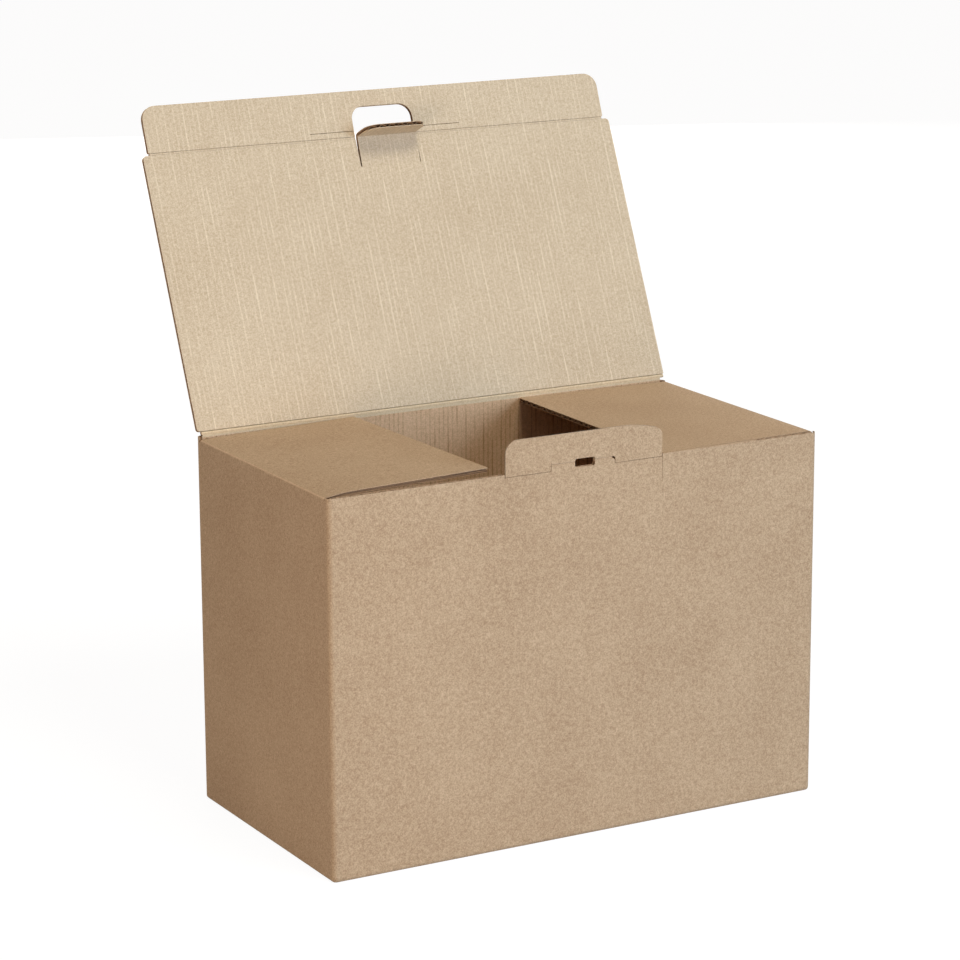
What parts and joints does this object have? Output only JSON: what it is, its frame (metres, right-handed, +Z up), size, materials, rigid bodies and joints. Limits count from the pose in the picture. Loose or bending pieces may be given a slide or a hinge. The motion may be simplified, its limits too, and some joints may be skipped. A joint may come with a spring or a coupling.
{
  "type": "erected corrugated carton with a tuck lid",
  "caption": "Plain erected corrugated board carton, lid tilted open, with a tuck flap, a finger tongue, a front lock tab and two dust flaps.",
  "frame": {"origin": "middle of the carton's underside", "axes": "+X along the width, +Y towards the wall that carries the lid, +Z up"},
  "size_m": [0.33, 0.2565, 0.4174],
  "materials": {
    "kraft_outside": "matte",
    "kraft_inside": "matte"
  },
  "bodies": {
    "walls": {"carton_body": "kraft_outside"},
    "lid_leaf": {"lid": "kraft_inside"},
    "tuck_leaf": {"tuck_flap": "kraft_inside"},
    "tab_leaf": {"front_lock_tab": "kraft_outside"}
  },
  "joints": [
    {"name": "lid_fold", "type": "hinge", "parent": "walls", "child": "lid_leaf", "pos_m": [0, 0.08625, 0.23], "axis": [1, 0, 0], "range_deg": [-84, 100]},
    {"name": "tuck_fold", "type": "hinge", "parent": "lid_leaf", "child": "tuck_leaf", "pos_m": [0, 0.15702, 0.38896], "axis": [1, 0, 0], "range_deg": [-2.8, 72]},
    {"name": "lock_tab_fold", "type": "hinge", "parent": "walls", "child": "tab_leaf", "pos_m": [0, -0.08625, 0.229], "axis": [-1, 0, 0], "range_deg": [0, 90]}
  ]
}
